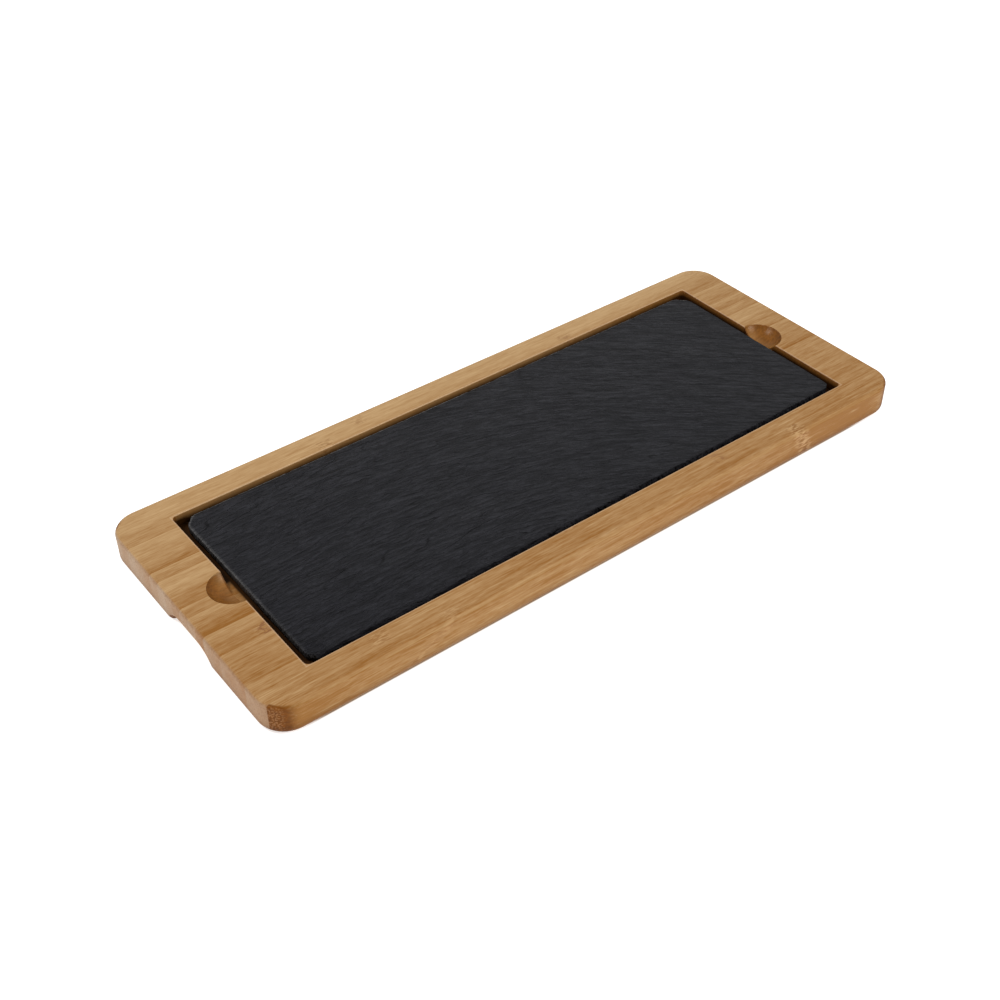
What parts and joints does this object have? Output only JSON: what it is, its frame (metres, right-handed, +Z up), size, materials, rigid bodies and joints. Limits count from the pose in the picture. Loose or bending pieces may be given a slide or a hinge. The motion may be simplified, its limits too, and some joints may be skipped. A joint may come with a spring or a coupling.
{
  "type": "slate serving board",
  "caption": "Flat laminated bamboo serving board with a recess that holds a lift-out slate slab, finger scoops at its ends and grip grooves underneath.",
  "frame": {"origin": "middle of the underside of the bamboo board, on the surface that it stands on", "axes": "+X along the board and its strips, +Y from the front edge to the back edge, +Z up through the slate"},
  "size_m": [0.4, 0.16, 0.018],
  "materials": {
    "bamboo_light": "fine sanded and lightly oiled, satin, with straight fibres along X",
    "bamboo": "fine sanded and lightly oiled, satin, with straight fibres along X",
    "bamboo_dark": "fine sanded and lightly oiled, satin, with straight fibres along X",
    "slate": "natural riven face, matt, with chipped edges",
    "pad_foam": "matt closed-cell foam"
  },
  "bodies": {
    "board": {"strip_01": "bamboo", "strip_02": "bamboo", "strip_03": "bamboo", "strip_04": "bamboo_dark", "strip_05": "bamboo", "strip_06": "bamboo", "strip_07": "bamboo", "strip_08": "bamboo", "strip_09": "bamboo_dark", "strip_10": "bamboo_light", "strip_11": "bamboo_light", "strip_12": "bamboo_dark", "strip_13": "bamboo", "strip_14": "bamboo_light", "strip_15": "bamboo", "strip_16": "bamboo_dark", "strip_17": "bamboo", "strip_18": "bamboo", "strip_19": "bamboo_dark", "strip_20": "bamboo", "strip_21": "bamboo_light", "strip_22": "bamboo"},
    "slate": {"slate_slab": "slate", "pad_front_left": "pad_foam", "pad_front_right": "pad_foam", "pad_back_left": "pad_foam", "pad_back_right": "pad_foam"}
  },
  "joints": [
    {"name": "slate_lift", "type": "slide", "parent": "board", "child": "slate", "axis": [0, 0, 1], "range_m": [0, 0.06]}
  ]
}
